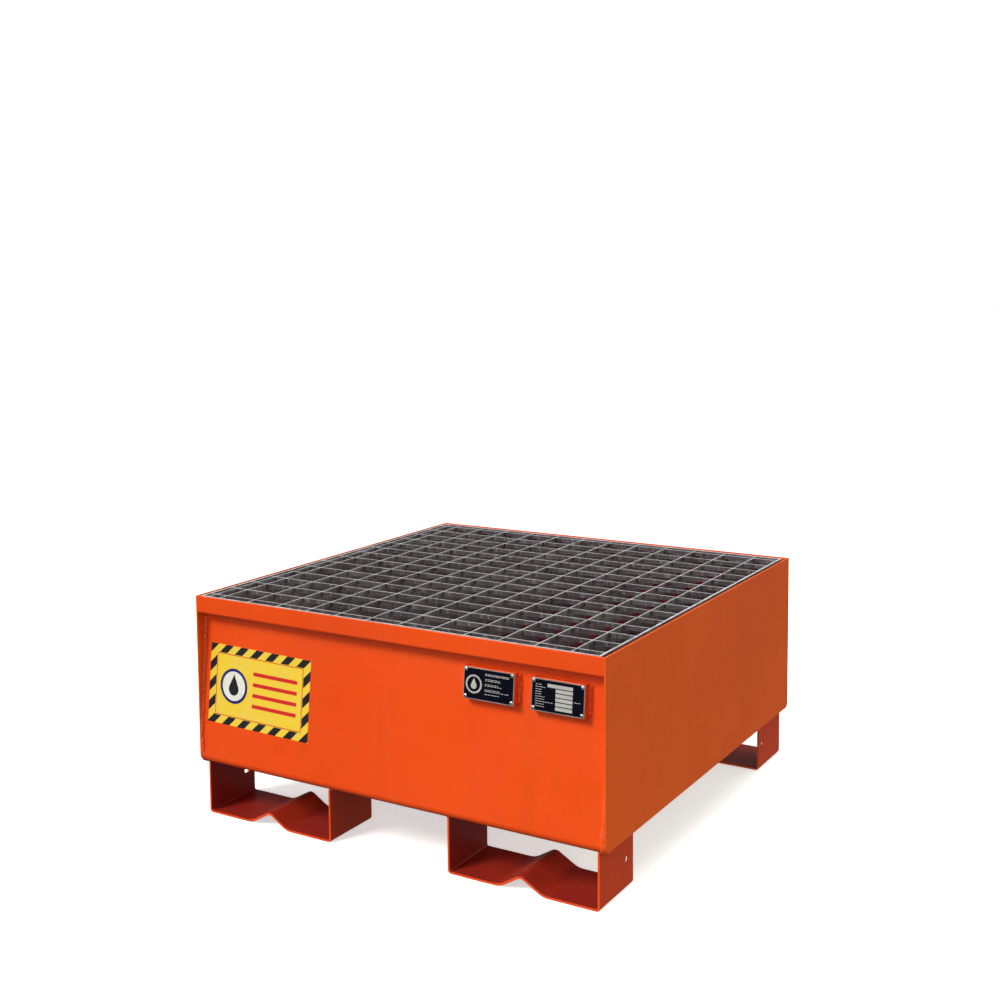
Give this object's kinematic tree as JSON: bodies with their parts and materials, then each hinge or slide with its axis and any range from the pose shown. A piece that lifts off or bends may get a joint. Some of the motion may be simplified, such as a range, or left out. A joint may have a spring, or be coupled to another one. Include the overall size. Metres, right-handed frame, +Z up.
{
  "type": "spill containment pallet",
  "caption": "Low square sheet steel sump on four folded feet, with a loose galvanised grating that carries a drum and lets leaks drain into the tank.",
  "frame": {"origin": "on the floor, under the centre of the tank", "axes": "+Z up; the front with the nameplates and the label faces -Y; +X is the right-hand side seen from the front"},
  "size_m": [0.86, 0.864, 0.42],
  "materials": {
    "orange_paint": "semi-gloss orange paint over welded sheet steel",
    "galvanised_steel": "hot-dip galvanised, dull grey with faint spangle",
    "nameplate_aluminium": "printed aluminium plate, black field with bare border",
    "rivet_aluminium": "plain aluminium",
    "label_film": "printed self-adhesive film, yellow with a black striped border"
  },
  "bodies": {
    "tank": {"tank_shell": "orange_paint", "rim_front": "orange_paint", "rim_rear": "orange_paint", "side_plate_left": "orange_paint", "side_plate_right": "orange_paint", "foot_front_left": "orange_paint", "foot_front_right": "orange_paint", "foot_rear_left": "orange_paint", "foot_rear_right": "orange_paint", "seam_weld_front_left": "orange_paint", "seam_weld_front_right": "orange_paint", "seam_weld_rear_left": "orange_paint", "seam_weld_rear_right": "orange_paint", "foot_weld_beads": "orange_paint", "nameplate_bracket_left": "orange_paint", "nameplate_bracket_right": "orange_paint", "bracket_weld_beads": "orange_paint", "nameplate_left": "nameplate_aluminium", "nameplate_right": "nameplate_aluminium", "nameplate_rivets_left": "rivet_aluminium", "nameplate_rivets_right": "rivet_aluminium", "safety_label": "label_film"},
    "grating": {"grating_frame_front": "galvanised_steel", "grating_frame_rear": "galvanised_steel", "grating_frame_left": "galvanised_steel", "grating_frame_right": "galvanised_steel", "bearing_bar_01": "galvanised_steel", "bearing_bar_02": "galvanised_steel", "bearing_bar_03": "galvanised_steel", "bearing_bar_04": "galvanised_steel", "bearing_bar_05": "galvanised_steel", "bearing_bar_06": "galvanised_steel", "bearing_bar_07": "galvanised_steel", "bearing_bar_08": "galvanised_steel", "bearing_bar_09": "galvanised_steel", "bearing_bar_10": "galvanised_steel", "bearing_bar_11": "galvanised_steel", "bearing_bar_12": "galvanised_steel", "bearing_bar_13": "galvanised_steel", "cross_bar_01": "galvanised_steel", "cross_bar_02": "galvanised_steel", "cross_bar_03": "galvanised_steel", "cross_bar_04": "galvanised_steel", "cross_bar_05": "galvanised_steel", "cross_bar_06": "galvanised_steel", "cross_bar_07": "galvanised_steel", "cross_bar_08": "galvanised_steel", "cross_bar_09": "galvanised_steel", "cross_bar_10": "galvanised_steel", "cross_bar_11": "galvanised_steel", "cross_bar_12": "galvanised_steel", "cross_bar_13": "galvanised_steel", "cross_bar_14": "galvanised_steel", "cross_bar_15": "galvanised_steel"}
  },
  "joints": [
    {"name": "grating_lift", "type": "slide", "parent": "tank", "child": "grating", "axis": [0, 0, 1], "range_m": [0, 0.15]}
  ]
}
